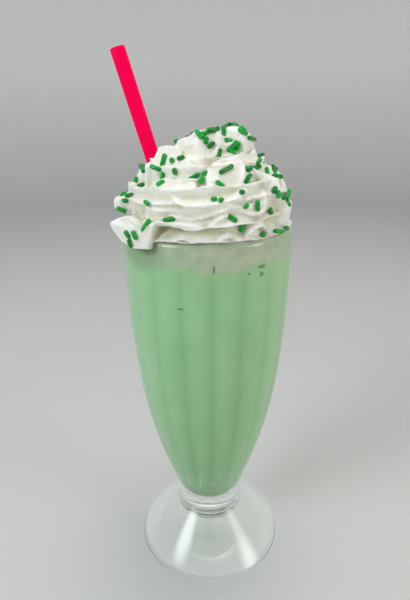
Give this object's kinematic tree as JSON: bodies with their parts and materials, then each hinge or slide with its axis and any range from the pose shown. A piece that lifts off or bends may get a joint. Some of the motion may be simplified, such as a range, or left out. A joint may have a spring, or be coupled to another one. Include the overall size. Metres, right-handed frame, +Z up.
{
  "type": "milkshake",
  "caption": "Mint milkshake in a fluted, footed soda-fountain glass, with a piped swirl of whipped cream, sprinkles and a drinking straw.",
  "frame": {"origin": "on the axis of the glass, on the surface that the foot stands on", "axes": "+Z up along the axis of the glass, -Y towards the front of the picture, +X to its right, so the straw leans towards -X"},
  "size_m": [0.0831, 0.0823, 0.2679],
  "materials": {
    "clear_glass": "clear, smooth and glossy pressed glass",
    "mint_milkshake": "opaque, creamy mint green drink",
    "melted_cream": "pale green layer where cream melts into the drink",
    "whipped_cream": "soft white whipped cream with a light sheen",
    "pink_straw": "bright pink translucent plastic"
  },
  "bodies": {
    "root": {"glass": "clear_glass", "milkshake": "mint_milkshake", "melted_cream": "melted_cream", "whipped_cream": "whipped_cream", "straw": "pink_straw"}
  },
  "joints": []
}
